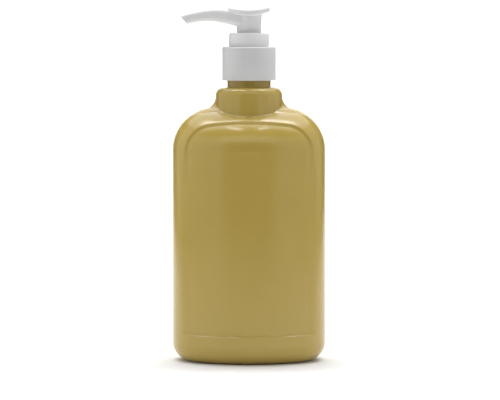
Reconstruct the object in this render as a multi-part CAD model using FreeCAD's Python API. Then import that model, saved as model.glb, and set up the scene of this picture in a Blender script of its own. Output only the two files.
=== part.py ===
"""Pump oil bottle: an oval blow-moulded bottle with a screw-lock lotion pump, head locked down.

Millimetres, +Z up, origin at the centre of the base. The front faces -Y and the spout points to -X.
"""
import FreeCAD, Part
import math
import os

from FreeCAD import Vector

os.makedirs("parts", exist_ok=True)

# ---- Driving dimensions ------------------------------------------------------------------------------------
# Bottle body: an oval of four arcs, with broad front and back faces.
bottle_width = 76.0
bottle_depth = 56.0
front_ratio = 0.658         # the front face's radius over the bottle's width
closure_line = 139.0        # height of the closure's lower edge
wall = 1.2
base_edge_radius = 9.0
base_ring_width = 11.5      # from the outline in to the pushed-up middle of the base
base_push_up = 2.0
base_push_slope = 3.0

# The round tower under the neck, and the shoulder that runs up to it.
tower_ledge = 5.8           # from the neck out to the tower's wall
tower_height = 9.9          # from the crown of the shoulder's round to the tower's top
tower_edge_radius = 4.0
tower_foot_radius = 5.8
flattest = 0.5              # an oval's depth over its width, at the least
tower_drop = 3.4            # from the closure's lower edge to the tower's top

# Shallow label panel, the same on the front and the back.
panel_depth = 0.8
panel_side_margin = 6.7
panel_bottom = 14.2
panel_top_drop = 6.8        # below the shoulder's crown
panel_crown_radius = 146.0
panel_top_corner = 14.0
panel_bottom_corner = 2.5

# Neck finish: one right-hand thread of eight turns to the inch.
neck_height = 16.5
neck_wall = 1.6
neck_clearance = 0.95       # from the pump housing's collar to the neck's bore
thread_height = 1.05
thread_lead = 3.175
thread_turns = 1.5
thread_root_width = 1.9
thread_crest_width = 0.7
thread_below_rim = 2.6
thread_gap = 0.25           # radial, between each crest and the other piece's root
thread_sink = 0.2           # how far a ridge runs into the wall that carries it

# Closure.
closure_wall = 1.2
closure_top_thickness = 1.35
closure_clearance = 0.75    # from the collar to the hole in the closure's top
closure_edge_radius = 1.0
closure_thread_turns = 1.25
closure_thread_drop = 1.5   # its ridge lies this far under the neck's ridge

# Gasket and pump housing.
gasket_thickness = 1.0
gasket_clearance = 0.25     # from the collar to the gasket's hole
flange_thickness = 1.2
flange_overhang = 0.1       # short of the neck's outside
collar_wall = 0.8
collar_clearance = 0.1      # from the lock ring's well to the collar's inside
collar_root = 2.6           # the thick stretch under the flange
chamber_radius = 6.0
chamber_wall = 1.0
shelf_below_guide = 0.3
vent_radius = 0.5
vent_below_root = 2.0
nipple_radius = 3.6
nipple_length = 8.0
inlet_radius = 1.2
inlet_length = 1.0

# Lock ring, which snaps over the housing's collar and traps the closure.
ring_wall = 1.75            # outside the collar
ring_height = 6.7
ring_edge_radius = 0.8
ring_top_thickness = 1.4
well_clearance = 0.7        # round the head's skirt, where the lock threads are
well_wall = 0.6
guide_thickness = 1.8
well_floor_gap = 1.0        # under the head's skirt
snap_height = 0.2
snap_width = 1.0

# Pump head: a moulding with a skirt, a saddle-shaped thumb pad and a spout.
head_rise = 13.05           # from the lock ring's top to the pad's raised ends
skirt_wall = 1.0
skirt_core = 0.63           # open space between the skirt and the socket inside it
skirt_depth = 5.95          # below the lock ring's top
skirt_core_height = 7.5
socket_wall = 0.9
socket_depth = 9.5          # above the skirt's lower edge
lock_thread_height = 0.3
lock_thread_root_width = 1.2
lock_thread_crest_width = 0.6
lock_thread_lead = 3.0
lock_thread_turns = 1.0
lock_thread_lift = 0.8      # the first turn's start above the skirt's lower edge
lock_crest_gap = 0.1
pad_front = 11.0            # the pad's reach towards the spout
pad_back = 10.4
pad_half_width = 9.6
pad_thickness = 2.8
pad_end_round = 0.7
pad_dish = 1.3
pad_root_round = 1.0        # between the pad's underside and the column
spout_reach = 34.6
spout_half_width = 5.4
spout_tip_half_width = 4.1
spout_tip_drop = 4.4        # the mouth's upper lip, below the pad's raised ends
spout_crest_drop = 0.8      # the arch's highest point
spout_crest_place = 16.0    # and its distance from the pump's axis
spout_under_drop = 7.5      # the underside's highest point
spout_root_drop = 9.9       # where the underside meets the column
spout_root_round = 3.0
mouth_height = 3.9
mouth_slant = 3.7
channel_radius = 1.5
channel_depth = 4.6         # its inner end below the pad's raised ends

# Moving pump parts.
stroke = 15.0
stop_gap = 0.1
stem_radius = 3.5
stem_bore = 2.2
stem_collar_clearance = 0.8 # to the chamber's wall
stem_collar_height = 2.0
piston_float = 1.2
piston_height = 6.0
piston_bore = 2.9
piston_waist_depth = 1.4    # in from the chamber's wall
piston_lip = 1.3
valve_disc_clearance = 1.1  # to the chamber's wall
valve_disc_thickness = 1.8
rod_plug_length = 10.0
rod_bead = 0.25
rod_bead_width = 0.8
flute_radius = 0.7
flutes = 4
spring_height = 7.0
spring_wire = 0.9
spring_inset = 1.85         # from the chamber's wall to the middle of the wire
spring_turns = 6
cage_thickness = 1.5
cage_holes = 4
cage_hole_radius = 0.6
boss_inset = 0.75           # from the middle of the spring's wire to the boss inside it
boss_height = 0.8
ball_radius = 2.0
ball_lift = 1.5
ball_bore = 2.6
tube_radius = 2.5
tube_wall = 0.7
tube_floor_gap = 1.6
tube_cut_deg = 40.0

# Clearances.
running_gap = 0.08          # a shaft in its guide
turning_gap = 0.05          # between flat faces that turn or rest on each other
press_gap = 0.02            # between pieces pressed together

# ---- Levels and radii worked out from them -----------------------------------------------------------------
tower_top = closure_line - tower_drop
shoulder_top = tower_top - tower_height
rim = tower_top + neck_height
flange_bottom = rim + gasket_thickness
flange_top = flange_bottom + flange_thickness
closure_top = flange_top + turning_gap + closure_top_thickness
ring_bottom = closure_top + turning_gap
ring_top = ring_bottom + ring_height
head_top = ring_top + head_rise
skirt_bottom = ring_top - skirt_depth
well_floor = skirt_bottom - well_floor_gap
guide_bottom = well_floor - guide_thickness
shelf = guide_bottom - shelf_below_guide
collar_top = ring_top - ring_top_thickness
stem_collar_top = guide_bottom - stop_gap - stroke
stem_bottom = stem_collar_top - stem_collar_height
piston_top = stem_bottom - turning_gap - piston_float
piston_bottom = piston_top - piston_height
valve_top = piston_bottom - turning_gap
valve_bottom = valve_top - valve_disc_thickness
spring_bottom = valve_bottom - spring_height
chamber_floor = spring_bottom - cage_thickness
ball_centre = chamber_floor - turning_gap - ball_lift - ball_radius
seat_reach = ball_radius * math.sqrt(0.5)
seat_bottom = ball_centre - turning_gap - 2 * seat_reach + inlet_radius
nipple_top = seat_bottom - inlet_length
nipple_bottom = nipple_top - nipple_length
tube_bottom = base_push_up + wall + tube_floor_gap
stem_top = skirt_bottom + socket_depth
half_width = bottle_width / 2
half_depth = bottle_depth / 2
front_radius = front_ratio * bottle_width
skirt_radius = stem_radius + press_gap + socket_wall + skirt_core + skirt_wall
well_radius = skirt_radius + well_clearance
collar_radius = well_radius + well_wall + collar_clearance + collar_wall
ring_radius = collar_radius + ring_wall
closure_hole = collar_radius + closure_clearance
neck_bore = collar_radius + neck_clearance
neck_radius = neck_bore + neck_wall
closure_bore = neck_radius + thread_height + thread_gap
closure_radius = closure_bore + closure_wall
tower_radius = neck_radius + tower_ledge
stem_collar_radius = chamber_radius - stem_collar_clearance
piston_waist = chamber_radius - piston_waist_depth
valve_disc_radius = chamber_radius - valve_disc_clearance
spring_mean_radius = chamber_radius - spring_inset
boss_radius = spring_mean_radius - boss_inset

# The four arcs meet where their normals stand at this angle to the front, the same in every section.
side_radius = (front_radius**2 - (front_radius - half_depth)**2 - half_width**2) / (
    2 * (front_radius - half_width)
)
arc_sine = (half_width - side_radius) / (front_radius - side_radius)
arc_cosine = (front_radius - half_depth) / (front_radius - side_radius)


# ---- Shapes used by several pieces -------------------------------------------------------------------------
def cylinder(radius, bottom, top):
    """A solid cylinder on the Z axis between two levels."""
    return Part.makeCylinder(radius, top - bottom, Vector(0, 0, bottom))


def tube(outer, inner, bottom, top):
    """A straight tube on the Z axis between two levels."""
    return cylinder(outer, bottom, top).cut(cylinder(inner, bottom, top))


def turned(points):
    """A body of revolution about Z from the corners (radius, height) of its half section."""
    corners = [Vector(radius, 0, height) for radius, height in points]
    face = Part.Face(Part.makePolygon(corners + corners[:1]))
    return face.revolve(Vector(0, 0, 0), Vector(0, 0, 1), 360)


def ridge(root, crest, root_width, crest_width, lead, turns, start):
    """A right-hand screw thread's ridge: a trapezoid swept up a helix from the level start."""
    path = Part.Wire(Part.makeHelix(lead, lead * turns, root))
    path.translate(Vector(0, 0, start))
    corners = [
        Vector(root, 0, start - root_width / 2),
        Vector(crest, 0, start - crest_width / 2),
        Vector(crest, 0, start + crest_width / 2),
        Vector(root, 0, start + root_width / 2),
    ]
    section = Part.Wire(Part.makePolygon(corners + corners[:1]).Edges)
    return path.makePipeShell([section], True, True)


def one_solid(shape):
    """The shape's single solid, with faces that share one surface joined."""
    return shape.removeSplitter().Solids[0]


# ---- Bottle ------------------------------------------------------------------------------------------------
def oval(width, depth, height):
    """The four-arc outline with these half sizes, at a height."""
    split = 1 - arc_sine - arc_cosine
    side = (width * (1 - arc_cosine) - depth * arc_sine) / split
    front = (depth * (1 - arc_sine) - width * arc_cosine) / split
    meet_x = width - side + side * arc_sine
    meet_y = side * arc_cosine
    right_front = Vector(meet_x, -meet_y, height)
    right_back = Vector(meet_x, meet_y, height)
    left_back = Vector(-meet_x, meet_y, height)
    left_front = Vector(-meet_x, -meet_y, height)
    arcs = [
        Part.Arc(left_front, Vector(0, -depth, height), right_front),
        Part.Arc(right_front, Vector(width, 0, height), right_back),
        Part.Arc(right_back, Vector(0, depth, height), left_back),
        Part.Arc(left_back, Vector(-width, 0, height), left_front),
    ]
    return Part.Wire([arc.toShape() for arc in arcs])


def shoulder_sections(inset, steps=9):
    """Ovals up the shoulder's dome, then up the hollows on the tower's left and right."""
    round_radius = half_width - tower_radius
    round_centre = shoulder_top - round_radius
    outer = round_radius - inset
    foot = tower_foot_radius + inset
    foot_x = tower_radius + tower_foot_radius
    foot_rise = math.sqrt((round_radius + tower_foot_radius)**2 - tower_foot_radius**2)
    foot_z = round_centre + foot_rise
    last = math.atan2(foot_rise, tower_foot_radius)
    dome = []
    for i in range(steps + 1):
        turn = last * i / steps
        width = tower_radius + outer * math.cos(turn)
        depth = max((half_depth - inset) * math.cos(turn), flattest * width)
        dome.append(oval(width, depth, round_centre + outer * math.sin(turn)))
    hollow = []
    for i in range(steps + 1):
        turn = math.pi + last * (1 - i / steps)
        width = foot_x + foot * math.cos(turn)
        hollow.append(oval(width, flattest * width, foot_z + foot * math.sin(turn)))
    return dome, hollow, round_centre


def bottle_form(inset, neck):
    """The bottle's outer form, or the form of its inside when it is set in by the wall."""
    dome, hollow, round_start = shoulder_sections(inset)
    outline = Part.Face(oval(half_width - inset, half_depth - inset, inset))
    body = outline.extrude(Vector(0, 0, round_start - inset))
    low_edges = [edge for edge in body.Edges if edge.BoundBox.ZMax < inset + 0.01]
    body = body.makeFillet(base_edge_radius - inset, low_edges)
    tower = cylinder(tower_radius - inset, round_start + tower_foot_radius, tower_top - inset)
    top_edges = [edge for edge in tower.Edges if edge.BoundBox.ZMin > tower_top - inset - 0.01]
    tower = tower.makeFillet(tower_edge_radius - inset, top_edges)
    pieces = [
        Part.makeLoft(dome, True, False),
        Part.makeLoft(hollow, True, False),
        tower,
        cylinder(neck, tower_top - inset - tower_edge_radius, rim),
    ]
    return body.multiFuse(pieces)


def panel_prism(inset):
    """A block through the bottle's front half with the label panel's outline."""
    side = half_width - panel_side_margin - inset
    bottom = panel_bottom + inset
    top = shoulder_top - panel_top_drop - inset
    crown_z = top - panel_crown_radius
    corner_x = side - panel_top_corner
    reach = panel_crown_radius - panel_top_corner
    corner_z = crown_z + math.sqrt(reach**2 - corner_x**2)
    meet_x = corner_x * panel_crown_radius / reach
    meet_z = crown_z + (corner_z - crown_z) * panel_crown_radius / reach
    turn = math.atan2(corner_z - crown_z, corner_x)
    middle = turn / 2
    mid_x = corner_x + panel_top_corner * math.cos(middle)
    mid_z = corner_z + panel_top_corner * math.sin(middle)
    low_x = side - panel_bottom_corner
    low_z = bottom + panel_bottom_corner
    low_mid = panel_bottom_corner * math.sqrt(0.5)

    def at(x, z):
        return Vector(x, 0, z)

    edges = [
        Part.LineSegment(at(-low_x, bottom), at(low_x, bottom)),
        Part.Arc(at(low_x, bottom), at(low_x + low_mid, low_z - low_mid), at(side, low_z)),
        Part.LineSegment(at(side, low_z), at(side, corner_z)),
        Part.Arc(at(side, corner_z), at(mid_x, mid_z), at(meet_x, meet_z)),
        Part.Arc(at(meet_x, meet_z), at(0, top), at(-meet_x, meet_z)),
        Part.Arc(at(-meet_x, meet_z), at(-mid_x, mid_z), at(-side, corner_z)),
        Part.LineSegment(at(-side, corner_z), at(-side, low_z)),
        Part.Arc(at(-side, low_z), at(-low_x - low_mid, low_z - low_mid), at(-low_x, bottom)),
    ]
    face = Part.Face(Part.Wire([edge.toShape() for edge in edges]))
    return face.extrude(Vector(0, -half_depth - wall, 0))


def bottle_skin(inset, neck):
    """The bottle's form with both label panels and the pushed-up base, set in by a distance."""
    form = bottle_form(inset, neck)
    core = bottle_form(inset + panel_depth, neck)
    front = panel_prism(inset).cut(core)
    back = front.mirror(Vector(0, 0, 0), Vector(0, 1, 0))
    form = form.cut(front).cut(back)
    ring = base_ring_width - inset
    low = oval(half_width - inset - ring, half_depth - inset - ring, inset)
    high_ring = ring + base_push_slope
    high = oval(half_width - inset - high_ring, half_depth - inset - high_ring, inset + base_push_up)
    return form.cut(Part.makeLoft([low, high], True, True))


def bottle():
    thread_start = rim - thread_below_rim - thread_lead * thread_turns
    thread = ridge(
        neck_radius - thread_sink,
        neck_radius + thread_height,
        thread_root_width,
        thread_crest_width,
        thread_lead,
        thread_turns,
        thread_start,
    )
    outside = bottle_skin(0, neck_radius).fuse(thread)
    inside = bottle_skin(wall, neck_bore)
    return one_solid(outside.cut(inside))


# ---- Closure -----------------------------------------------------------------------------------------------
def closure():
    shell = cylinder(closure_radius, closure_line, closure_top)
    top_edges = [edge for edge in shell.Edges if edge.BoundBox.ZMin > closure_top - 0.01]
    shell = shell.makeFillet(closure_edge_radius, top_edges)
    shell = shell.cut(cylinder(closure_bore, closure_line, closure_top - closure_top_thickness))
    shell = shell.cut(cylinder(closure_hole, closure_line, closure_top))
    start = rim - thread_below_rim - thread_lead * thread_turns - closure_thread_drop
    thread = ridge(
        closure_bore + thread_sink,
        neck_radius + thread_gap,
        thread_root_width,
        thread_crest_width,
        thread_lead,
        closure_thread_turns,
        start,
    )
    return one_solid(shell.fuse(thread))


# ---- Gasket, housing and dip tube --------------------------------------------------------------------------
def neck_gasket():
    outer = neck_radius - flange_overhang
    return tube(outer, collar_radius + gasket_clearance, rim, flange_bottom)


def housing():
    flange = neck_radius - flange_overhang
    root = flange_bottom - collar_root
    collar_inner = collar_radius - collar_wall
    chamber_outer = chamber_radius + chamber_wall
    tube_hole = tube_radius + press_gap
    seat_top = seat_bottom + ball_bore - inlet_radius
    shape = turned(
        [
            (tube_hole, nipple_bottom),
            (nipple_radius, nipple_bottom),
            (nipple_radius, chamber_floor - chamber_wall),
            (chamber_outer, chamber_floor - chamber_wall + 1),
            (chamber_outer, root),
            (collar_radius, root + 1),
            (collar_radius, flange_bottom),
            (flange, flange_bottom),
            (flange, flange_top),
            (collar_radius, flange_top),
            (collar_radius, collar_top),
            (collar_inner, collar_top),
            (collar_inner, shelf),
            (chamber_radius, shelf),
            (chamber_radius, chamber_floor),
            (ball_bore, chamber_floor),
            (ball_bore, seat_top),
            (inlet_radius, seat_bottom),
            (inlet_radius, nipple_top),
            (tube_hole, nipple_top),
        ]
    )
    bead = (collar_top + ring_bottom) / 2
    shape = shape.fuse(tube(collar_radius + snap_height, collar_radius - 0.1, bead, bead + snap_width))
    vent_start = Vector(0, 0, root - vent_below_root)
    vent = Part.makeCylinder(vent_radius, chamber_outer, vent_start, Vector(0, 1, 0))
    return one_solid(shape.cut(vent))


def dip_tube():
    shape = tube(tube_radius, tube_radius - tube_wall, tube_bottom, nipple_top)
    slope = math.tan(math.radians(tube_cut_deg))
    drop = tube_radius * slope
    corners = [
        Vector(-tube_radius - 1, 0, tube_bottom - 1),
        Vector(tube_radius + 1, 0, tube_bottom - 1),
        Vector(tube_radius + 1, 0, tube_bottom + 2 * drop + slope),
        Vector(-tube_radius - 1, 0, tube_bottom - slope),
    ]
    wedge = Part.Face(Part.makePolygon(corners + corners[:1])).extrude(Vector(0, 4 * tube_radius, 0))
    wedge.translate(Vector(0, -2 * tube_radius, 0))
    return one_solid(shape.cut(wedge))


# ---- Lock ring ---------------------------------------------------------------------------------------------
def lock_ring():
    body = cylinder(ring_radius, ring_bottom, ring_top)
    top_edges = [edge for edge in body.Edges if edge.BoundBox.ZMin > ring_top - 0.01]
    body = body.makeFillet(ring_edge_radius, top_edges)
    collar_hole = collar_radius + press_gap
    collar_inner = collar_radius - collar_wall - press_gap
    well_outer = well_radius + well_wall
    body = body.cut(tube(collar_hole, collar_inner, ring_bottom, collar_top))
    body = body.cut(tube(collar_inner, well_outer, ring_bottom, collar_top))
    bead = (collar_top + ring_bottom) / 2
    groove_bottom = bead - press_gap
    groove_top = bead + snap_width + press_gap
    body = body.cut(tube(collar_hole + snap_height, collar_radius - 0.1, groove_bottom, groove_top))
    body = body.fuse(cylinder(well_outer, guide_bottom, ring_bottom))
    body = body.cut(cylinder(well_radius, well_floor, ring_top))
    body = body.cut(cylinder(stem_radius + running_gap, guide_bottom, well_floor))
    crest = skirt_radius + lock_thread_height + lock_crest_gap
    thread = ridge(
        well_radius + thread_sink,
        crest,
        lock_thread_root_width,
        lock_thread_crest_width,
        lock_thread_lead,
        lock_thread_turns,
        skirt_bottom + lock_thread_lift + lock_thread_lead / 2,
    )
    return one_solid(body.fuse(thread))


# ---- Pump head ---------------------------------------------------------------------------------------------
def side_outline():
    """The pad and spout seen from the front: the spout's arch, its slanting mouth, the dished pad."""
    neck = skirt_radius
    lip = -spout_reach + mouth_slant
    lip_drop = spout_tip_drop + mouth_height
    root = -neck - spout_root_round
    root_drop = spout_root_drop - spout_root_round / 2
    under_x = (root + lip) / 2 - spout_root_round / 2
    crest = -spout_crest_place
    end = pad_back - pad_end_round
    under = pad_thickness + pad_root_round

    def at(x, drop):
        return Vector(x, -2 * pad_half_width, head_top - drop)

    edges = [
        Part.LineSegment(at(neck, spout_root_drop), at(-neck, spout_root_drop)),
        Part.Arc(
            at(-neck, spout_root_drop),
            at(-neck - spout_root_round / 3, root_drop + spout_root_round / 6),
            at(root, root_drop),
        ),
        Part.Arc(at(root, root_drop), at(under_x, spout_under_drop), at(lip, lip_drop)),
        Part.LineSegment(at(lip, lip_drop), at(-spout_reach, spout_tip_drop)),
        Part.Arc(at(-spout_reach, spout_tip_drop), at(crest, spout_crest_drop), at(-pad_front, pad_dish)),
        Part.LineSegment(at(-pad_front, pad_dish), at(-pad_front + pad_end_round, 0)),
        Part.Arc(at(-pad_front + pad_end_round, 0), at((pad_back - pad_front) / 2, pad_dish), at(end, 0)),
        Part.Arc(at(end, 0), at(pad_back, pad_thickness / 2), at(end, pad_thickness)),
        Part.LineSegment(at(end, pad_thickness), at(neck + pad_root_round, under)),
        Part.Arc(
            at(neck + pad_root_round, under),
            at(neck + pad_root_round / 4, under + pad_root_round / 4),
            at(neck, under + pad_root_round),
        ),
        Part.LineSegment(at(neck, under + pad_root_round), at(neck, spout_root_drop)),
    ]
    face = Part.Face(Part.Wire([edge.toShape() for edge in edges]))
    return face.extrude(Vector(0, 4 * pad_half_width, 0))


def plan_outline(bottom, top):
    """The pad and spout seen from above: an oval pad that runs into a spout with a narrower tip."""
    middle = (pad_back - pad_front) / 2
    half_length = (pad_back + pad_front) / 2
    ellipse = Part.Ellipse(Vector(middle, 0, bottom), half_length, pad_half_width)
    pad = Part.Face(Part.Wire(ellipse.toShape())).extrude(Vector(0, 0, top - bottom))
    corners = [
        Vector(0, -spout_half_width, bottom),
        Vector(0, spout_half_width, bottom),
        Vector(-spout_reach - 1, spout_tip_half_width, bottom),
        Vector(-spout_reach - 1, -spout_tip_half_width, bottom),
    ]
    spout = Part.Face(Part.makePolygon(corners + corners[:1])).extrude(Vector(0, 0, top - bottom))
    return pad.fuse(spout)


def wing_outline():
    """The head seen along the spout: the pad's wings, with a small round down to the column."""
    wing = pad_half_width + 1
    neck = skirt_radius
    under = pad_thickness + pad_root_round

    def at(y, drop):
        return Vector(-spout_reach - 1, y, head_top - drop)

    edges = [
        Part.LineSegment(at(-neck, spout_root_drop), at(neck, spout_root_drop)),
        Part.LineSegment(at(neck, spout_root_drop), at(neck, under + pad_root_round)),
        Part.Arc(
            at(neck, under + pad_root_round),
            at(neck + pad_root_round / 4, under + pad_root_round / 4),
            at(neck + pad_root_round, under),
        ),
        Part.LineSegment(at(neck + pad_root_round, under), at(wing, pad_thickness)),
        Part.LineSegment(at(wing, pad_thickness), at(wing, 0)),
        Part.LineSegment(at(wing, 0), at(-wing, 0)),
        Part.LineSegment(at(-wing, 0), at(-wing, pad_thickness)),
        Part.LineSegment(at(-wing, pad_thickness), at(-neck - pad_root_round, under)),
        Part.Arc(
            at(-neck - pad_root_round, under),
            at(-neck - pad_root_round / 4, under + pad_root_round / 4),
            at(-neck, under + pad_root_round),
        ),
        Part.LineSegment(at(-neck, under + pad_root_round), at(-neck, spout_root_drop)),
    ]
    face = Part.Face(Part.Wire([edge.toShape() for edge in edges]))
    return face.extrude(Vector(spout_reach + pad_back + 2, 0, 0))


def actuator():
    column_top = head_top - spout_root_drop
    head = side_outline().common(plan_outline(column_top, head_top)).common(wing_outline())
    head = head.fuse(cylinder(skirt_radius, skirt_bottom, head_top - pad_thickness - 2 * pad_root_round))
    socket = stem_radius + press_gap
    core_top = skirt_bottom + skirt_core_height
    head = head.cut(tube(skirt_radius - skirt_wall, socket + socket_wall, skirt_bottom, core_top))
    head = head.cut(cylinder(socket, skirt_bottom, stem_top))
    channel_inner = head_top - channel_depth
    head = head.cut(cylinder(stem_bore, stem_top, channel_inner))
    mouth_middle = Vector(-spout_reach + mouth_slant / 2, 0, head_top - spout_tip_drop - mouth_height / 2)
    along = mouth_middle - Vector(0, 0, channel_inner)
    length = along.Length + mouth_slant
    channel = Part.makeCylinder(channel_radius, length, Vector(0, 0, channel_inner), along)
    head = head.cut(channel)
    thread = ridge(
        skirt_radius - thread_sink,
        skirt_radius + lock_thread_height,
        lock_thread_root_width,
        lock_thread_crest_width,
        lock_thread_lead,
        lock_thread_turns,
        skirt_bottom + lock_thread_lift,
    )
    return head.fuse(thread).Solids[0]


# ---- Stem, piston and valve --------------------------------------------------------------------------------
def main_stem():
    shape = cylinder(stem_radius, stem_bottom, stem_top)
    shape = shape.fuse(cylinder(stem_collar_radius, stem_bottom, stem_collar_top))
    shape = shape.cut(cylinder(stem_bore, stem_bottom, stem_top))
    bead_bottom = stem_bottom + rod_plug_length - 2 * rod_bead_width
    groove = cylinder(
        stem_bore + rod_bead, bead_bottom - turning_gap, bead_bottom + rod_bead_width + turning_gap
    )
    return one_solid(shape.cut(groove))


def piston_rod():
    rod_radius = stem_bore - running_gap
    shape = cylinder(valve_disc_radius, valve_bottom, valve_top)
    shape = shape.fuse(cylinder(boss_radius, valve_bottom - boss_height, valve_bottom))
    shape = shape.fuse(cylinder(rod_radius, valve_top, stem_bottom + rod_plug_length))
    bead_bottom = stem_bottom + rod_plug_length - 2 * rod_bead_width
    shape = shape.fuse(cylinder(rod_radius + rod_bead, bead_bottom, bead_bottom + rod_bead_width))
    for i in range(flutes):
        angle = 2 * math.pi * i / flutes
        flute = cylinder(flute_radius, valve_top, stem_bottom + rod_plug_length)
        reach = rod_radius + rod_bead
        flute.translate(Vector(reach * math.cos(angle), reach * math.sin(angle), 0))
        shape = shape.cut(flute)
    return one_solid(shape)


def piston():
    lip = chamber_radius - running_gap
    return one_solid(
        turned(
            [
                (piston_bore, piston_bottom),
                (piston_waist - 0.5, piston_bottom),
                (lip - 0.4, piston_bottom),
                (lip, piston_bottom + piston_lip),
                (piston_waist, piston_bottom + 2 * piston_lip),
                (piston_waist, piston_top - 2 * piston_lip),
                (lip, piston_top - piston_lip),
                (lip - 0.4, piston_top - 0.4),
                (piston_waist - 0.5, piston_top - piston_lip),
                (piston_waist - 0.5, piston_top),
                (piston_bore, piston_top),
            ]
        )
    )


def return_spring():
    low = spring_bottom + spring_wire / 2
    rise = spring_height - spring_wire
    path = Part.Wire(Part.makeHelix(rise / spring_turns, rise, spring_mean_radius))
    path.translate(Vector(0, 0, low))
    section = Part.Wire(
        Part.makeCircle(spring_wire / 2 - press_gap, Vector(spring_mean_radius, 0, low), Vector(0, 1, 0))
    )
    return path.makePipeShell([section], True, True)


def ball_cage():
    shape = cylinder(chamber_radius - turning_gap, chamber_floor, spring_bottom)
    shape = shape.fuse(cylinder(boss_radius, spring_bottom, spring_bottom + boss_height))
    reach = ball_bore - cage_hole_radius
    for i in range(cage_holes):
        angle = 2 * math.pi * i / cage_holes
        hole = cylinder(cage_hole_radius, chamber_floor, spring_bottom + boss_height)
        hole.translate(Vector(reach * math.cos(angle), reach * math.sin(angle), 0))
        shape = shape.cut(hole)
    return one_solid(shape)


def inlet_ball():
    return Part.makeSphere(ball_radius, Vector(0, 0, ball_centre))


# ---- Write every piece -------------------------------------------------------------------------------------
pieces = [
    bottle,
    closure,
    neck_gasket,
    housing,
    dip_tube,
    lock_ring,
    actuator,
    main_stem,
    piston_rod,
    piston,
    return_spring,
    ball_cage,
    inlet_ball,
]

for piece in pieces:
    shape = piece()
    box = shape.BoundBox
    print(
        f"{piece.__name__:14s} valid {shape.isValid()}  solids {len(shape.Solids)}  "
        f"volume {shape.Volume:9.1f} mm3  z {box.ZMin:.2f} to {box.ZMax:.2f}"
    )
    shape.exportStep(f"parts/{piece.__name__}.step")
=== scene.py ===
import math

import bpy
import numpy as np
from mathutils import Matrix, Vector


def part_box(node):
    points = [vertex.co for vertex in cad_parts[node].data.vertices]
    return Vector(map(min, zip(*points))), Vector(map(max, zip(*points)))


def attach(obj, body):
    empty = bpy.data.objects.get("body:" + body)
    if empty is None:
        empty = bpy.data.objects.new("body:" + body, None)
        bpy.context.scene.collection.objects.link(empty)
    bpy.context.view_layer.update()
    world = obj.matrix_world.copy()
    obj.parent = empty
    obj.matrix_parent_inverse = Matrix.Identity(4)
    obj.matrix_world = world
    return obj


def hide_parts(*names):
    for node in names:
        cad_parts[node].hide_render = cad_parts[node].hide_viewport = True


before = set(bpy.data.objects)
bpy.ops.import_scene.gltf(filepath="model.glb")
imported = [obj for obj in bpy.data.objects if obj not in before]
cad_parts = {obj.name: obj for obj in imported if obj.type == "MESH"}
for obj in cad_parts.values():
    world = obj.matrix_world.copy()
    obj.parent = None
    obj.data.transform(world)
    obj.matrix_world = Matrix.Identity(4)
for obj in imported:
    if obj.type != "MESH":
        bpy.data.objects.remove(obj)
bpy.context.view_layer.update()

# ---- Camera ----------------------------------------------------------------------------------------------
# A long lens 1.3 m in front of the pump's axis, a little under the height of the head, looking slightly down
# at the middle of the bottle.
camera_distance = 1.3
camera_height = 0.165
camera_side = 0.0005
aim_height = 0.0796
frame_width = 0.2484        # the width in view at the pump's axis
sensor_width = 36.0

bpy.context.scene.view_settings.view_transform = "Standard"
camera_data = bpy.data.cameras.new("camera")
camera = bpy.data.objects.new("camera", camera_data)
bpy.context.collection.objects.link(camera)
camera.location = (camera_side, -camera_distance, camera_height)
look = Vector((camera_side, 0, aim_height)) - camera.location
camera.rotation_euler = look.to_track_quat("-Z", "Y").to_euler()
camera_data.sensor_width = sensor_width
camera_data.lens = look.length * sensor_width / frame_width
camera_data.clip_end = 20
bpy.context.scene.camera = camera

# ---- Bottle ----------------------------------------------------------------------------------------------
# An oval bottle, blow-moulded in one piece from opaque, mustard-khaki polyethylene with a gloss surface. Its
# front and back carry a shallow label panel, its base is pushed up, and the neck has a moulded screw thread.
bottle_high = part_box("bottle")[1]
half_width = bottle_high[0]
half_depth = bottle_high[1]
rim = bottle_high[2]
closure_low, closure_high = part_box("closure")
wall = 0.0012
front_radius = 0.658 * 2 * half_width
tower_radius = 0.0166
tower_top = closure_low[2] - 0.0034
tower_edge = 0.004
shoulder_top = tower_top - 0.0099
foot_radius = 0.0058
flattest = 0.5              # an oval's depth over its width, at the least
foot_blend = 0.0004         # softens the line where the shoulder meets the tower's front
base_edge = 0.009
base_ring = 0.0115
push_up = 0.002
push_slope = 0.003          # how wide the slope up to the pushed-up middle is
neck_radius = 0.0108
neck_bore = 0.0092
push_swell = 0.0002         # and how far it swells in the middle
panel_depth = 0.0008
panel_edge = 0.0013         # width of the soft step round the panel
panel_side_fade = 0.0036    # how much wider the step runs out along the panel's sides
panel_foot_edge = 0.0008    # and its width along the panel's lower edge
panel_side = half_width - 0.0067
panel_bottom = 0.0142
panel_top = shoulder_top - 0.0068
panel_fade_start = 0.014    # below the panel's top, where its sides begin to widen
panel_fade_length = 0.015
panel_crown = 0.146
panel_corner = 0.014
panel_line_rise = 0.0025    # height of finely spaced rings above the panel's lower edge


def add_mesh(name, vertices, faces):
    """A new mesh object in the scene, shaded smooth."""
    mesh = bpy.data.meshes.new(name)
    mesh.from_pydata([tuple(v) for v in vertices], [], [tuple(f) for f in faces])
    mesh.update()
    mesh.shade_smooth()
    piece = bpy.data.objects.new(name, mesh)
    bpy.context.collection.objects.link(piece)
    return piece


def ring_faces(rings, around, close_start=False, close_end=False):
    """Quads between rings of points that each go once round, with optional end caps."""
    faces = []
    for i in range(rings - 1):
        low = i * around
        high = low + around
        for j in range(around):
            k = (j + 1) % around
            faces.append((low + j, low + k, high + k, high + j))
    if close_start:
        faces.append(tuple(range(around - 1, -1, -1)))
    if close_end:
        last = (rings - 1) * around
        faces.append(tuple(range(last, last + around)))
    return faces


def arc_steps(start, end, steps):
    """Angles from start to end, with the start left out."""
    return [start + (end - start) * (i + 1) / steps for i in range(steps)]


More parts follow.
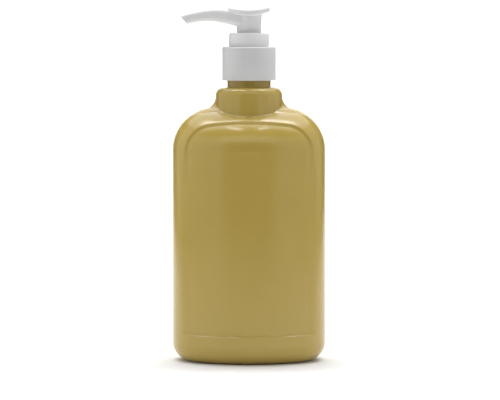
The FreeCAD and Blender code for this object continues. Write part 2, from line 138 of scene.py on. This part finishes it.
# The oval is four arcs that meet where their normals stand at one angle to the front, in every section.
side_radius = (front_radius**2 - (front_radius - half_depth)**2 - half_width**2) / (
    2 * (front_radius - half_width)
)
meet = math.asin((half_width - side_radius) / (front_radius - side_radius))


def oval_points(width, depth, turns):
    """Points on the oval with these half sizes, at these angles of the normal from the front."""
    sine, cosine = math.sin(meet), math.cos(meet)
    split = 1 - sine - cosine
    side = (width * (1 - cosine) - depth * sine) / split
    front = (depth * (1 - sine) - width * cosine) / split
    facing_side = np.abs(np.sin(turns)) > sine
    radius = np.where(facing_side, side, front)
    centre_x = np.where(facing_side, np.sign(np.sin(turns)) * (width - side), 0)
    centre_y = np.where(facing_side, 0, np.sign(np.cos(turns)) * (front - depth))
    return centre_x + radius * np.sin(turns), centre_y - radius * np.cos(turns)


edge_span = 0.33            # angle past that meeting where the points still stand close together


def oval_turns(front_steps, edge_steps, side_steps):
    """Angles of the normal all the way round, closest together where the label panels' sides lie."""
    turns = []
    past = meet + edge_span
    for centre in (0, math.pi):
        for start, end, steps in (
            (-meet, meet, front_steps),
            (meet, past, edge_steps),
            (past, math.pi - past, side_steps),
            (math.pi - past, math.pi - meet, edge_steps),
        ):
            turns += [centre + start + (end - start) * i / steps for i in range(steps)]
    return np.array(turns)


def panel_inside(x, z, inset):
    """How far a point lies inside the label panel's sides and arch, negative outside them."""
    side = panel_side - inset
    x = np.abs(x)
    crown_z = panel_top - inset - panel_crown
    corner_x = side - panel_corner
    corner_z = crown_z + math.sqrt((panel_crown - panel_corner)**2 - corner_x**2)
    inside = np.minimum(side - x, panel_crown - np.hypot(x, z - crown_z))
    in_corner = (x > corner_x) & (z > corner_z) & ((z - crown_z) * corner_x < x * (corner_z - crown_z))
    return np.where(in_corner, panel_corner - np.hypot(x - corner_x, z - corner_z), inside)


def bottle_profile(inset, wall_steps, round_steps, shoulder_steps):
    """Rings from the base's middle up to the tower's top, as half width, half depth and height."""
    rings = []
    ring = base_ring - inset
    for out in (0.010, 0.006):
        rings.append((half_width - base_ring - out, half_depth - base_ring - out, inset + push_up))
    high = ring + push_slope
    rings.append((half_width - inset - high, half_depth - inset - high, inset + push_up))
    for share in (0.15, 0.5, 0.85):
        offset = high - push_slope * share
        rise = push_up * (1 - share) + push_swell * math.sin(math.pi * share)
        rings.append((half_width - inset - offset, half_depth - inset - offset, inset + rise))
    rings.append((half_width - inset - ring, half_depth - inset - ring, inset))
    edge = base_edge - inset
    rings.append((half_width - base_edge, half_depth - base_edge, inset))
    for angle in arc_steps(0, math.pi / 2, round_steps):
        out = edge * math.sin(angle)
        rise = edge * (1 - math.cos(angle))
        rings.append((half_width - base_edge + out, half_depth - base_edge + out, inset + rise))
    round_radius = half_width - tower_radius
    round_centre = shoulder_top - round_radius
    step_low = panel_bottom + inset - panel_edge
    step_high = panel_bottom + inset + panel_line_rise
    walls = [base_edge + (step_low - base_edge) * (i + 1) / 4 for i in range(4)]
    walls += [step_low + (step_high - step_low) * (i + 1) / wall_steps for i in range(wall_steps)]
    walls += [step_high + (round_centre - step_high) * (i + 1) / 30 for i in range(30)]
    for z in walls:
        rings.append((half_width - inset, half_depth - inset, z))
    foot_x = tower_radius + foot_radius
    foot_rise = math.sqrt((round_radius + foot_radius)**2 - foot_radius**2)
    last = math.atan2(foot_rise, foot_radius)
    for angle in arc_steps(0, last, shoulder_steps):
        width = tower_radius + (round_radius - inset) * math.cos(angle)
        depth = max((half_depth - inset) * math.cos(angle), flattest * width)
        rings.append((width, depth, round_centre + (round_radius - inset) * math.sin(angle)))
    for angle in arc_steps(math.pi + last, math.pi, 2 * round_steps):
        width = foot_x + (foot_radius + inset) * math.cos(angle)
        z = round_centre + foot_rise + (foot_radius + inset) * math.sin(angle)
        rings.append((width, flattest * width, z))
    return rings


def dome_ring(width, depth, tower, ways):
    """Distances from the axis, in these directions, of an oval or of the tower, whichever is farther out."""
    fine = oval_turns(200, 60, 60)
    x, y = oval_points(width, depth, fine)
    oval = np.interp(ways, np.arctan2(x, -y), np.hypot(x, y), period=2 * math.pi)
    past = oval - tower
    blend = foot_blend * np.cos(ways)**2
    return tower + (past + np.sqrt(past**2 + 4 * blend**2)) / 2


def bottle_wall(inset, rings, turns, ways):
    """The points of all rings up to the tower's top, with the label panels pressed in."""
    tower = tower_radius - inset
    edge = tower_edge - inset
    rims = [(tower - edge + edge * math.cos(a), tower_top - tower_edge + edge * math.sin(a))
            for a in [0] + arc_steps(0, math.pi / 2, 12)]
    grid = np.zeros((len(rings) + len(rims), len(turns), 3))
    start = shoulder_top - (half_width - tower_radius)
    for i, (width, depth, z) in enumerate(rings):
        grid[i, :, 0], grid[i, :, 1] = oval_points(width, depth, turns)
        if z > start + 1e-6:
            reach = dome_ring(width, depth, tower, ways)
            grid[i, :, 0], grid[i, :, 1] = reach * np.sin(ways), -reach * np.cos(ways)
        grid[i, :, 2] = z
    for i, (radius, z) in enumerate(rims):
        grid[len(rings) + i, :, 0] = radius * np.sin(ways)
        grid[len(rings) + i, :, 1] = -radius * np.cos(ways)
        grid[len(rings) + i, :, 2] = z
    along = np.roll(grid, -1, 1) - np.roll(grid, 1, 1)
    up = np.gradient(grid, axis=0)
    normal = np.cross(along, up)
    normal /= np.maximum(np.linalg.norm(normal, axis=2, keepdims=True), 1e-12)
    z = grid[:, :, 2]
    fading = np.clip((panel_top - panel_fade_start - z) / panel_fade_length, 0, 1)
    edge_width = panel_edge + panel_side_fade * fading
    share = np.clip(panel_inside(grid[:, :, 0], z, inset) / edge_width + 0.5, 0, 1)
    low = np.clip((z - panel_bottom - inset) / panel_foot_edge + 0.5, 0, 1)
    press = panel_depth * share**2 * (3 - 2 * share) * low**2 * (3 - 2 * low)
    press[z > shoulder_top] = 0
    return grid - normal * press[:, :, None]


turns = oval_turns(176, 40, 40)
outline_x, outline_y = oval_points(half_width, half_depth, turns)
ways = np.arctan2(outline_x, -outline_y)
outer = bottle_wall(0, bottle_profile(0, 26, 12, 170), turns, ways)
inner = bottle_wall(wall, bottle_profile(wall, 12, 6, 40), turns, ways)
neck_foot = 0.0006
rim_edge = 0.0003
neck_rings = [(neck_radius + neck_foot, 0), (neck_radius + 0.3 * neck_foot, 0.3 * neck_foot)]
neck_rings += [(neck_radius, neck_foot)]
neck = [(radius, tower_top + rise) for radius, rise in neck_rings]
neck += [(neck_radius, rim - 0.008), (neck_radius, rim - rim_edge), (neck_radius - rim_edge, rim)]
neck += [(neck_bore + rim_edge, rim), (neck_bore, rim - rim_edge), (neck_bore, tower_top)]
neck += [(neck_bore + rim_edge, tower_top - wall)]
neck_grid = np.zeros((len(neck), len(turns), 3))
for i, (radius, z) in enumerate(neck):
    neck_grid[i, :, 0] = radius * np.sin(ways)
    neck_grid[i, :, 1] = -radius * np.cos(ways)
    neck_grid[i, :, 2] = z
shell = np.concatenate([outer, neck_grid, inner[::-1]])
bottle = add_mesh("bottle_shell", shell.reshape(-1, 3), ring_faces(len(shell), len(turns), True, True))

thread_lead = 0.003175
thread_turns = 1.5
thread_start = rim - 0.0026 - thread_lead * thread_turns
thread_height = 0.00105
thread_sunk = 0.0002        # how far a ridge's root is sunk in its wall
thread_root_width = 0.0019
thread_crest_width = 0.0007


def thread_mesh(name, root, crest, root_width, crest_width, lead, turns_round, start, steps=72):
    """A right-hand thread ridge whose ends run out into its wall."""
    vertices = []
    count = int(steps * turns_round)
    for i in range(count + 1):
        share = i / count
        fade = min(1, 8 * share, 8 * (1 - share))
        fade = fade * fade * (3 - 2 * fade)
        angle = 2 * math.pi * turns_round * share
        z = start + lead * turns_round * share
        tip = root + (crest - root) * max(fade, 0.02)
        for radius, offset in (
            (root, -root_width / 2),
            (tip, -crest_width / 2),
            (tip, crest_width / 2),
            (root, root_width / 2),
        ):
            vertices.append((radius * math.cos(angle), radius * math.sin(angle), z + offset))
    return add_mesh(name, vertices, ring_faces(count + 1, 4, True, True))


def join_pieces(pieces):
    """Joins the later pieces' meshes into the first."""
    with bpy.context.temp_override(active_object=pieces[0], selected_editable_objects=pieces):
        bpy.ops.object.join()
    return pieces[0]


neck_thread = thread_mesh(
    "neck_thread",
    neck_radius - thread_sunk,
    neck_radius + thread_height,
    thread_root_width,
    thread_crest_width,
    thread_lead,
    thread_turns,
    thread_start,
)
join_pieces([bottle, neck_thread])


def new_material(name):
    """A material with a Principled shader, and a helper that adds nodes to it."""
    material = bpy.data.materials.new(name)
    material.use_nodes = True
    tree = material.node_tree
    return material, tree, tree.nodes["Principled BSDF"]


def noise_between(tree, scale, detail, low, high, stretch=(1, 1, 1)):
    """Object-space noise, remapped between two values."""
    place = tree.nodes.new("ShaderNodeTexCoord")
    mapping = tree.nodes.new("ShaderNodeMapping")
    mapping.inputs["Scale"].default_value = stretch
    noise = tree.nodes.new("ShaderNodeTexNoise")
    noise.inputs["Scale"].default_value = scale
    noise.inputs["Detail"].default_value = detail
    remap = tree.nodes.new("ShaderNodeMapRange")
    remap.inputs["From Min"].default_value = 0.3
    remap.inputs["From Max"].default_value = 0.7
    remap.inputs["To Min"].default_value = low
    remap.inputs["To Max"].default_value = high
    tree.links.new(place.outputs["Object"], mapping.inputs["Vector"])
    tree.links.new(mapping.outputs["Vector"], noise.inputs["Vector"])
    tree.links.new(noise.outputs["Fac"], remap.inputs["Value"])
    return remap.outputs["Result"]


def colour_between(tree, value, dark, light):
    """A colour mixed between two by a value from 0 to 1."""
    mix = tree.nodes.new("ShaderNodeMix")
    mix.data_type = "RGBA"
    mix.inputs["A"].default_value = (*dark, 1)
    mix.inputs["B"].default_value = (*light, 1)
    tree.links.new(value, mix.inputs["Factor"])
    return mix.outputs["Result"]


def add_bump(tree, shader, height, strength, distance):
    """A bump from a height value."""
    bump = tree.nodes.new("ShaderNodeBump")
    bump.inputs["Strength"].default_value = strength
    bump.inputs["Distance"].default_value = distance
    tree.links.new(height, bump.inputs["Height"])
    tree.links.new(bump.outputs["Normal"], shader.inputs["Normal"])


def bottle_plastic():
    """Opaque, glossy, mustard-khaki polyethylene, hardly clouded."""
    material, tree, shader = new_material("mustard_polyethylene")
    cloud = noise_between(tree, 18, 3, 0, 1)
    colour = colour_between(tree, cloud, (0.455, 0.325, 0.068), (0.484, 0.350, 0.078))
    tree.links.new(colour, shader.inputs["Base Color"])
    tree.links.new(noise_between(tree, 240, 4, 0.15, 0.21), shader.inputs["Roughness"])
    shader.inputs["IOR"].default_value = 1.52
    shader.inputs["Subsurface Weight"].default_value = 0.0
    add_bump(tree, shader, noise_between(tree, 60, 2, 0, 1), 0.05, 0.0005)
    return material


bottle.data.materials.clear()
bottle.data.materials.append(bottle_plastic())
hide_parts("bottle")
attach(bottle, "bottle")

# ---- Closure ---------------------------------------------------------------------------------------------
# The screw cap that holds the pump on the neck: injection-moulded white polypropylene, with a plain skirt, a
# soft top edge and one turn and a quarter of thread inside.
closure_radius = closure_high[0]
thread_clearance = 0.00025
closure_bore = neck_radius + thread_height + thread_clearance
closure_panel = 0.00135
closure_hole = 0.009
closure_edge = 0.001
closure_thread_turns = 1.25


def turned_rings(points, around):
    """A grid of points from a half section of radius and height, turned about the pump's axis."""
    turn = np.arange(around) * 2 * math.pi / around
    grid = np.zeros((len(points), around, 3))
    for i, (radius, z) in enumerate(points):
        grid[i, :, 0] = radius * np.cos(turn)
        grid[i, :, 1] = radius * np.sin(turn)
        grid[i, :, 2] = z
    return grid


def rounded(points, radii, steps=6):
    """A closed half section with its corners rounded to these radii."""
    result = []
    count = len(points)
    for i, (corner, radius) in enumerate(zip(points, radii)):
        here = Vector(corner)
        before = (Vector(points[i - 1]) - here).normalized()
        after = (Vector(points[(i + 1) % count]) - here).normalized()
        if radius == 0:
            result.append(tuple(here))
            continue
        half = before.angle(after) / 2
        reach = radius / math.tan(half)
        middle = here + (before + after).normalized() * (radius / math.sin(half))
        start = here + before * reach - middle
        end = here + after * reach - middle
        swing = start.angle_signed(end)
        for j in range(steps + 1):
            point = middle + rotated(start, -swing * j / steps)
            result.append(tuple(point))
    return result


def rotated(vector, angle):
    """A flat vector turned anticlockwise by an angle."""
    sine, cosine = math.sin(angle), math.cos(angle)
    return Vector((vector.x * cosine - vector.y * sine, vector.x * sine + vector.y * cosine))


def turned_mesh(name, points, radii, around=192):
    """A closed body of revolution from the corners of its half section, taken anticlockwise."""
    outline = rounded(points, radii)
    grid = turned_rings(outline + outline[:1], around)
    faces = ring_faces(len(outline) + 1, around)
    total = len(outline) * around
    faces = [tuple(v % total for v in face) for face in faces]
    return add_mesh(name, grid[:-1].reshape(-1, 3), faces)


closure = turned_mesh(
    "closure_cap",
    [
        (closure_bore, closure_low[2]),
        (closure_radius, closure_low[2]),
        (closure_radius, closure_high[2]),
        (closure_hole, closure_high[2]),
        (closure_hole, closure_high[2] - closure_panel),
        (closure_bore, closure_high[2] - closure_panel),
    ],
    [0.00025, 0.0003, closure_edge, 0.00015, 0.00015, 0.0003],
)
closure_thread = thread_mesh(
    "closure_thread",
    closure_bore + thread_sunk,
    neck_radius + thread_clearance,
    thread_root_width,
    thread_crest_width,
    thread_lead,
    closure_thread_turns,
    thread_start - 0.0015,
)
closure_thread.data.flip_normals()
join_pieces([closure, closure_thread])


def white_plastic(name, grain, tone_and_painted_light):
    """White polypropylene with a satin surface, of this tone. For the ring and the head the tone is set above
    the cap's as painted light, to lighten them where the lamps leave them in shade.
    """
    material, tree, shader = new_material(name)
    cloud = noise_between(tree, 90, 3, 0, 1)
    colour = colour_between(tree, cloud, [tone_and_painted_light - 0.015] * 3, [tone_and_painted_light + 0.015] * 3)
    tree.links.new(colour, shader.inputs["Base Color"])
    tree.links.new(noise_between(tree, 900, 4, 0.40, 0.50), shader.inputs["Roughness"])
    shader.inputs["IOR"].default_value = 1.49
    shader.inputs["Subsurface Weight"].default_value = 0.15
    shader.inputs["Subsurface Radius"].default_value = (0.0012, 0.0011, 0.001)
    shader.inputs["Subsurface Scale"].default_value = 1.0
    add_bump(tree, shader, noise_between(tree, grain, 3, 0, 1), 0.08, 0.0002)
    return material


closure.data.materials.clear()
closure.data.materials.append(white_plastic("white_polypropylene_cap", 1400, 0.68))
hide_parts("closure")
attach(closure, "closure")

# ---- Lock ring -------------------------------------------------------------------------------------------
# The white collar above the cap, snapped over the pump housing. Its threaded well holds the head down when
# the head is screwed into it, and a hole in the well's floor guides the stem.
ring_low, ring_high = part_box("lock_ring")
ring_radius = ring_high[0]
ring_foot = closure_high[2] + 0.00005
well_radius = 0.00675
well_wall = 0.0006
well_floor = ring_high[2] - 0.00695
guide_low = ring_low[2]
guide_radius = 0.00358
collar_outer = 0.00827
collar_top = ring_high[2] - 0.0014
lock_ring = turned_mesh(
    "lock_ring_collar",
    [
        (guide_radius, guide_low),
        (well_radius + well_wall, guide_low),
        (well_radius + well_wall, collar_top),
        (collar_outer, collar_top),
        (collar_outer, ring_foot),
        (ring_radius, ring_foot),
        (ring_radius, ring_high[2] - 0.0001),
        (well_radius + 0.0014, ring_high[2] - 0.0001),
        (well_radius + 0.0012, ring_high[2]),
        (well_radius, ring_high[2]),
        (well_radius, well_floor),
        (guide_radius, well_floor),
    ],
    [0.0001, 0.0002, 0.0001, 0.0001, 0.0001, 0.0003, 0.0008, 0.00005, 0.00005, 0.0004, 0.0002, 0.0001],
)
lock_root_width = 0.0012
lock_crest_width = 0.0006
lock_lead = 0.003
lock_thread = thread_mesh(
    "lock_thread",
    well_radius + thread_sunk,
    well_radius - 0.0003,
    lock_root_width,
    lock_crest_width,
    lock_lead,
    1.0,
    well_floor + 0.0033,
)
lock_thread.data.flip_normals()
join_pieces([lock_ring, lock_thread])
lock_ring.data.materials.clear()
# The ring's tone, 0.84 against the cap's 0.68, is partly painted light: it is raised to lighten the ring
# where the head above and the cap below shade it.
lock_ring.data.materials.append(white_plastic("white_polypropylene_ring", 1600, 0.84))
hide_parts("lock_ring")
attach(lock_ring, "pump")

# ---- Pump head -------------------------------------------------------------------------------------------
# One hollow moulding in white polypropylene: a round column whose skirt screws into the lock ring, an arched
# spout with a slanting mouth, and a thin thumb pad, dished along the spout and rounded across it.
head_low, head_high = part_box("actuator")
head_top = head_high[2]
skirt_low = head_low[2]
column_radius = 0.00605
pad_front = 0.0110          # how far the pad reaches over the spout
pad_middle = (head_high[0] - pad_front) / 2
pad_half_length = (head_high[0] + pad_front) / 2
pad_half_width = head_high[1]
pad_thickness = 0.0028
pad_dish = 0.0013
pad_crown = 0.0004
spout_tip = head_low[0]


def smooth_line(stations, values, places):
    """Values read off a smooth curve through the stations."""
    slopes = np.gradient(values, stations)
    index = np.clip(np.searchsorted(stations, places) - 1, 0, len(stations) - 2)
    start = np.array(stations)[index]
    span = np.array(stations)[index + 1] - start
    t = (places - start) / span
    v0, v1 = np.array(values)[index], np.array(values)[index + 1]
    m0, m1 = slopes[index] * span, slopes[index + 1] * span
    return (
        (2 * t**3 - 3 * t**2 + 1) * v0
        + (t**3 - 2 * t**2 + t) * m0
        + (3 * t**2 - 2 * t**3) * v1
        + (t**3 - t**2) * m1
    )


# The spout's side view, as drops below the pad's raised ends along its length from the mouth to the column.
spout_places = [0.0, 0.0065, 0.0125, 0.0175, 0.0225, 0.0280, 0.0345]
spout_top = [0.0042, 0.0024, 0.0012, 0.0006, 0.0007, 0.0016, 0.0030]
spout_under = [0.0088, 0.0079, 0.0074, 0.0076, 0.0085, 0.0097, 0.0112]
spout_half_widths = [0.0036, 0.0041, 0.0045, 0.0048, 0.0051, 0.0054, 0.0054]
mouth_slant = 0.0039        # how far the mouth's lower lip stands back from its upper lip


def spout_mesh(around=64, sections=70):
    """The arched spout: round on top, flatter under, closed by the slanting mouth."""
    places = np.linspace(0, spout_places[-1], sections)
    tops = head_top - smooth_line(spout_places, spout_top, places)
    lows = head_top - smooth_line(spout_places, spout_under, places)
    widths = smooth_line(spout_places, spout_half_widths, places)
    vertices = []
    for place, top, low, width in zip(places, tops, lows, widths):
        middle = (top + low) / 2
        half = (top - low) / 2
        for j in range(around):
            angle = 2 * math.pi * j / around
            sine, cosine = math.sin(angle), math.cos(angle)
            power = 0.72 if sine > 0 else 0.5
            y = width * math.copysign(abs(cosine)**0.72, cosine)
            z = middle + half * math.copysign(abs(sine)**power, sine)
            lean = mouth_slant * (top - z) / (top - low) * max(0, 1 - place / 0.012)
            vertices.append((spout_tip + place + lean, y, z))
    return add_mesh("spout", vertices, ring_faces(sections, around, True, True))


def pad_mesh(around=128, rings=26):
    """The thumb pad: a thick oval plate, dished along X and slightly rounded across Y."""

    def surface(x, y):
        along = (x - pad_middle) / pad_half_length
        across = y / pad_half_width
        return head_top - pad_dish * (1 - along**2) - pad_crown * across**2

    vertices = []
    turn = np.arange(around) * 2 * math.pi / around
    outline = [(i / rings, 0.0) for i in range(1, rings)]
    upper = (0.0010, np.linspace(0, math.pi / 2, 9))
    lower = (0.0007, np.linspace(math.pi / 2, math.pi, 7))
    for edge, angles in (upper, lower):
        for angle in angles:
            drop = edge * (1 - math.cos(angle))
            if angle > math.pi / 2 + 0.01:
                drop += pad_thickness - 2 * edge
            outline.append((1 - (edge / pad_half_width) * (1 - math.sin(angle)), -drop))
    outline += [(i / rings, -pad_thickness) for i in range(rings - 2, 0, -1)]
    for share, drop in outline:
        x = pad_middle + pad_half_length * share * np.cos(turn)
        y = pad_half_width * share * np.sin(turn)
        z = surface(x, y) + drop
        vertices += list(zip(x, y, z))
    faces = ring_faces(len(outline), around, False, False)
    faces = [face[::-1] for face in faces]
    faces.append(tuple(range(around)))
    last = (len(outline) - 1) * around
    faces.append(tuple(range(last + around - 1, last - 1, -1)))
    return add_mesh("pad", vertices, faces)


def column_mesh():
    """The round column from the skirt's lower edge up to the pad's underside."""
    top = head_top - 0.003
    points = [(0.0004, skirt_low), (column_radius, skirt_low), (column_radius, top - 0.0085)]
    points += [(column_radius + 0.0004, top - 0.0014), (column_radius + 0.0012, top), (0.0004, top)]
    return turned_mesh("column", points, [0, 0.0003, 0, 0.0009, 0.0001, 0], 128)


def apply_modifier(piece, kind, **settings):
    """Adds a modifier with these settings and bakes its result into the mesh."""
    modifier = piece.modifiers.new(kind.lower(), kind)
    for key, value in settings.items():
        setattr(modifier, key, value)
    baked = bpy.data.meshes.new_from_object(piece.evaluated_get(bpy.context.evaluated_depsgraph_get()))
    piece.modifiers.clear()
    old = piece.data
    piece.data = baked
    bpy.data.meshes.remove(old)


def cylinder_mesh(name, radius, start, end, around=64):
    """A plain cylinder between two points, used to cut a bore."""
    axis = (Vector(end) - Vector(start)).normalized()
    side = axis.orthogonal().normalized()
    other = axis.cross(side)
    vertices = []
    for centre in (Vector(start), Vector(end)):
        for j in range(around):
            angle = 2 * math.pi * j / around
            vertices.append(centre + side * (radius * math.cos(angle)) + other * (radius * math.sin(angle)))
    return add_mesh(name, vertices, ring_faces(2, around, True, True))


def cut(piece, cutter):
    """Cuts one mesh from another and throws the cutter away."""
    apply_modifier(piece, "BOOLEAN", operation="DIFFERENCE", object=cutter, solver="EXACT")
    bpy.data.objects.remove(cutter)


column = column_mesh()
head = join_pieces([column, spout_mesh(), pad_mesh()])
head.name = "pump_head"
apply_modifier(head, "REMESH", mode="VOXEL", voxel_size=0.00016)
apply_modifier(head, "SMOOTH", factor=0.5, iterations=14)
stem_bore = 0.0022
channel_radius = 0.0015
socket_radius = 0.00352
socket_top = skirt_low + 0.0095
core = turned_mesh(
    "skirt_core",
    [
        (socket_radius + 0.0009, skirt_low - 0.001),
        (column_radius - 0.001, skirt_low - 0.001),
        (column_radius - 0.001, skirt_low + 0.0075),
        (socket_radius + 0.0009, skirt_low + 0.0075),
    ],
    [0, 0, 0, 0],
    96,
)
cut(head, core)
cut(head, cylinder_mesh("socket_bore", socket_radius, (0, 0, skirt_low - 0.001), (0, 0, socket_top)))
channel_z = head_top - 0.0046
cut(head, cylinder_mesh("stem_bore", stem_bore, (0, 0, socket_top - 0.0002), (0, 0, channel_z)))
mouth = Vector((spout_tip + 0.0018, 0, head_top - 0.0063))
inner_end = Vector((0, 0, channel_z))
outward = (mouth - inner_end).normalized()
cut(head, cylinder_mesh("channel", channel_radius, inner_end, mouth + outward * 0.003))
skirt_thread = thread_mesh(
    "skirt_thread",
    column_radius - thread_sunk,
    column_radius + 0.0003,
    lock_root_width,
    lock_crest_width,
    lock_lead,
    1.0,
    skirt_low + 0.0008,
)
join_pieces([head, skirt_thread])
head.data.shade_smooth()
head.data.materials.clear()
# The head's tone, 0.79 against the cap's 0.68, is partly painted light: it is raised to lighten the head's
# sides, which the lamps leave in shade.
head.data.materials.append(white_plastic("white_polypropylene_head", 1500, 0.79))
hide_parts("actuator")
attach(head, "head")

# ---- Stem ------------------------------------------------------------------------------------------------
# The tube that the head is pressed onto, white polypropylene. It shows between the lock ring and the skirt
# when the head is up, and its collar is the stop at the top of the stroke.
stem_low, stem_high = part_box("main_stem")
stem_radius = 0.0035
stem_collar = stem_high[0]
collar_high = stem_low[2] + 0.002
stem = turned_mesh(
    "stem_tube",
    [
        (stem_bore, stem_low[2]),
        (stem_collar, stem_low[2]),
        (stem_collar, collar_high),
        (stem_radius, collar_high),
        (stem_radius, stem_high[2]),
        (stem_bore, stem_high[2]),
    ],
    [0.0001, 0.0003, 0.0003, 0.0004, 0.0003, 0.0001],
    96,
)
stem.data.materials.append(white_plastic("white_polypropylene_stem", 1500, 0.79))
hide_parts("main_stem")
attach(stem, "head")

# ---- Parts inside the pump -------------------------------------------------------------------------------
# Housing, dip tube, piston, piston rod and ball cage are uncoloured polypropylene and polyethylene, the
# gasket is pressed foam, and the spring and the ball are stainless steel. All are closed in at rest.


def milky_plastic():
    """Uncoloured polypropylene."""
    material, tree, shader = new_material("milky_polypropylene")
    cloud = noise_between(tree, 120, 3, 0, 1)
    colour = colour_between(tree, cloud, (0.66, 0.67, 0.64), (0.74, 0.75, 0.72))
    tree.links.new(colour, shader.inputs["Base Color"])
    tree.links.new(noise_between(tree, 700, 3, 0.32, 0.45), shader.inputs["Roughness"])
    shader.inputs["IOR"].default_value = 1.49
    shader.inputs["Subsurface Weight"].default_value = 0.3
    shader.inputs["Subsurface Radius"].default_value = (0.002, 0.002, 0.0018)
    shader.inputs["Subsurface Scale"].default_value = 1.0
    add_bump(tree, shader, noise_between(tree, 1100, 2, 0, 1), 0.1, 0.0002)
    return material


def pressed_foam():
    """White foam with fine cells."""
    material, tree, shader = new_material("pressed_foam")
    cells = noise_between(tree, 2600, 5, 0, 1)
    colour = colour_between(tree, cells, (0.70, 0.70, 0.68), (0.82, 0.82, 0.80))
    tree.links.new(colour, shader.inputs["Base Color"])
    tree.links.new(noise_between(tree, 900, 3, 0.75, 0.9), shader.inputs["Roughness"])
    add_bump(tree, shader, cells, 0.4, 0.0002)
    return material


def stainless(name, stretch):
    """Bright stainless steel, with its fine scratches stretched along the way it was worked."""
    material, tree, shader = new_material(name)
    drawn = noise_between(tree, 700, 4, 0, 1, stretch)
    colour = colour_between(tree, drawn, (0.50, 0.51, 0.52), (0.60, 0.61, 0.62))
    tree.links.new(colour, shader.inputs["Base Color"])
    tree.links.new(noise_between(tree, 500, 4, 0.18, 0.32, stretch), shader.inputs["Roughness"])
    shader.inputs["Metallic"].default_value = 1.0
    add_bump(tree, shader, drawn, 0.08, 0.0001)
    return material


milky = milky_plastic()
finishes = {
    "housing": milky,
    "dip_tube": milky,
    "piston": milky,
    "piston_rod": milky,
    "ball_cage": milky,
    "neck_gasket": pressed_foam(),
    "return_spring": stainless("drawn_stainless_wire", (1, 1, 6)),
    "inlet_ball": stainless("ground_stainless_ball", (1, 1, 1)),
}
for node, material in finishes.items():
    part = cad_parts[node]
    part.data.materials.clear()
    part.data.materials.append(material)

# ---- Floor and backdrop ----------------------------------------------------------------------------------
# A plain pale sheet that lies flat under the bottle and sweeps up behind it. It ends 0.65 m in front, so the
# upper front of the bottle reflects the darker room and only its lower front reflects the sheet.
floor_near = -0.65
floor_far = 0.9
sweep_radius = 0.5
sweep_top = 2.2
floor_half = 0.55
line = [(floor_near, 0.0), (floor_far, 0.0)]
for angle in arc_steps(0, math.pi / 2, 24):
    line.append((floor_far + sweep_radius * math.sin(angle), sweep_radius * (1 - math.cos(angle))))
line.append((floor_far + sweep_radius, sweep_top))
vertices = []
for y, z in line:
    vertices += [(-floor_half, y, z), (floor_half, y, z)]
faces = [(2 * i, 2 * i + 1, 2 * i + 3, 2 * i + 2) for i in range(len(line) - 1)]
floor = add_mesh("floor", vertices, faces)


def pale_sheet():
    """Plain matt white."""
    material, tree, shader = new_material("pale_sheet")
    colour = colour_between(tree, noise_between(tree, 3, 3, 0, 1), (0.815, 0.815, 0.82), (0.845, 0.845, 0.85))
    tree.links.new(colour, shader.inputs["Base Color"])
    shader.inputs["Roughness"].default_value = 0.9
    return material


floor.data.materials.append(pale_sheet())

# ---- Lights ----------------------------------------------------------------------------------------------
# Two broad soft boxes in front on the left and the right, whose inner edges bound the darker band down the
# bottle's middle, one more on each side, a wide one overhead with two narrow strips under it, a weak one high
# in front, one for the backdrop, and a dim surround.


def soft_box(name, place, aim, width, height, power):
    data = bpy.data.lights.new(name, "AREA")
    data.shape = "RECTANGLE"
    data.size = width
    data.size_y = height
    data.energy = power
    lamp = bpy.data.objects.new(name, data)
    bpy.context.collection.objects.link(lamp)
    lamp.location = place
    lamp.rotation_euler = (Vector(aim) - Vector(place)).to_track_quat("-Z", "Y").to_euler()
    return lamp


level = (0, 0, 0.55)
aim = (0, 0, 0.12)
soft_box("soft_box_left", (-0.82, -0.57, 0.55), level, 0.93, 1.1, 2.4)
soft_box("soft_box_right", (0.82, -0.57, 0.55), level, 0.93, 1.1, 2.2)
soft_box("side_box_left", (-1.05, 0.22, 0.55), level, 1.0, 1.1, 2.5)
soft_box("side_box_right", (1.05, 0.22, 0.55), level, 1.0, 1.1, 2.3)
soft_box("soft_box_top", (0, 0.55, 1.25), (0, 0.4, 0), 2.2, 1.4, 17.5)
soft_box("front_fill", (0, -0.95, 1.1), aim, 1.4, 0.5, 2.6)
soft_box("strip_left", (-0.19, -0.15, 1.18), aim, 0.24, 0.045, 0.75)
soft_box("strip_right", (0.19, -0.15, 1.18), aim, 0.15, 0.04, 0.4)
soft_box("backdrop_light", (0, 0.3, 1.4), (0, 1.4, 0.3), 1.4, 0.6, 22)
world = bpy.data.worlds.new("surround")
bpy.context.scene.world = world
world.use_nodes = True
background = world.node_tree.nodes["Background"]
background.inputs["Color"].default_value = (1.0, 1.0, 1.0, 1)
background.inputs["Strength"].default_value = 0.08
